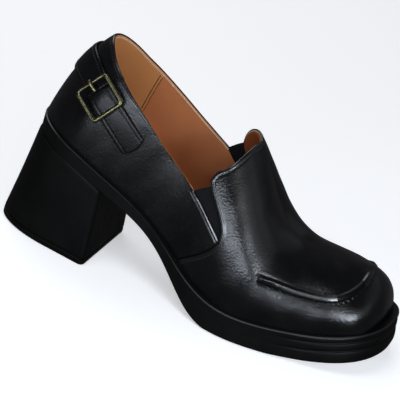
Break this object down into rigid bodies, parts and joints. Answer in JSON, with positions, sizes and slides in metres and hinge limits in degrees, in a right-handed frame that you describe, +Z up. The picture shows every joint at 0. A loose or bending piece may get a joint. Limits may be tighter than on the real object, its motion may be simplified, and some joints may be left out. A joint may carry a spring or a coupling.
{
  "type": "high heel shoe",
  "caption": "Slip-on platform loafer with a tall flared block heel, raised moc-toe seam, elastic side insets and a buckled strap round the heel.",
  "frame": {"origin": "on the floor under the middle of the shoe's box", "axes": "+X from heel to toe, +Y to the inner side of the foot, +Z up"},
  "size_m": [0.2426, 0.0934, 0.1271],
  "materials": {
    "rubber": "matte black, slightly warm",
    "leather": "smooth black, semi-gloss with fine grain",
    "lining": "matte tan",
    "elastic": "matte black, ribbed",
    "brass": "antique brass, satin"
  },
  "bodies": {
    "root": {"outsole": "rubber", "heel_block": "rubber", "heel_lift": "rubber", "insole": "lining", "upper": "leather", "gore_lateral": "elastic", "gore_medial": "elastic", "heel_strap": "leather", "strap_tab": "leather", "buckle_frame": "brass", "buckle_prong": "brass"}
  },
  "joints": []
}
